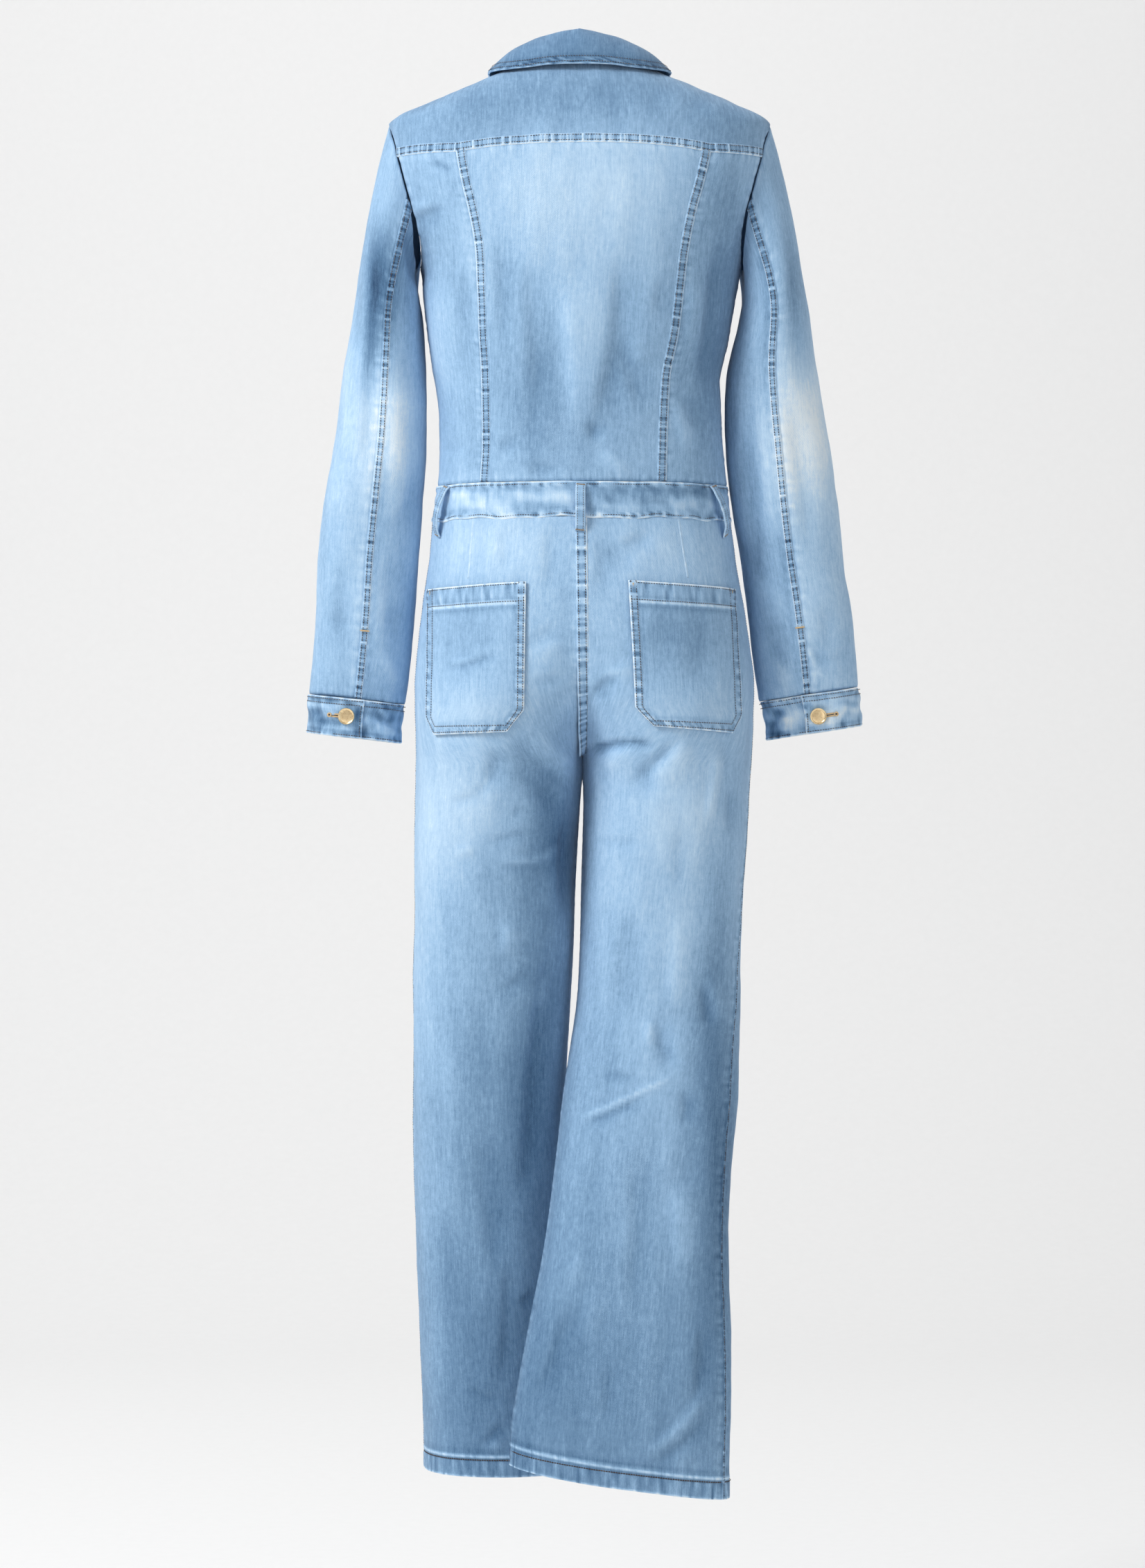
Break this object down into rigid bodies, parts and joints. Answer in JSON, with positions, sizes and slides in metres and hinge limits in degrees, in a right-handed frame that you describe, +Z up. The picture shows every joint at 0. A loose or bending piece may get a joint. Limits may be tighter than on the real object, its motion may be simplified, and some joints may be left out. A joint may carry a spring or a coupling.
{
  "type": "jumpsuit",
  "caption": "Long-sleeved denim jumpsuit with a turn-down collar, buttoned front and cuffs, waistband with belt loops, patch pockets and wide straight legs, in its hollow worn shape.",
  "frame": {"origin": "middle of the neck at the height of the shoulder tops, where the wearer's neck and shoulders hold the garment up", "axes": "+Z up the body, -Y the way the wearer faces, +X to the wearer's left"},
  "size_m": [0.5708, 0.2561, 1.4765],
  "materials": {
    "denim": "light washed stretch denim, faded over the upper back, elbows, hips and thighs",
    "denim_trim": "the same denim in two layers, worn pale along its edges",
    "button_metal": "plain brushed light gold metal"
  },
  "bodies": {
    "root": {"back_pocket_left": "denim", "back_pocket_right": "denim", "back_yoke": "denim", "centre_back": "denim", "collar_fall": "denim", "collar_stand": "denim_trim", "cuff_button_left": "button_metal", "cuff_button_right": "button_metal", "cuff_left": "denim_trim", "cuff_right": "denim_trim", "fly": "denim", "front_button_1": "button_metal", "front_button_2": "button_metal", "front_button_3": "button_metal", "front_button_4": "button_metal", "front_button_5": "button_metal", "front_button_6": "button_metal", "front_button_7": "button_metal", "front_left": "denim", "front_pocket_left": "denim", "front_pocket_right": "denim", "front_right": "denim", "leg_back_left": "denim", "leg_back_right": "denim", "leg_front_left": "denim", "leg_front_right": "denim", "loop_back": "denim_trim", "loop_back_left": "denim_trim", "loop_back_right": "denim_trim", "loop_front_left": "denim_trim", "loop_front_right": "denim_trim", "placket": "denim_trim", "side_back_left": "denim", "side_back_right": "denim", "sleeve_top_left": "denim", "sleeve_top_right": "denim", "sleeve_under_left": "denim", "sleeve_under_right": "denim", "waist_button": "button_metal", "waistband": "denim_trim"}
  },
  "joints": []
}
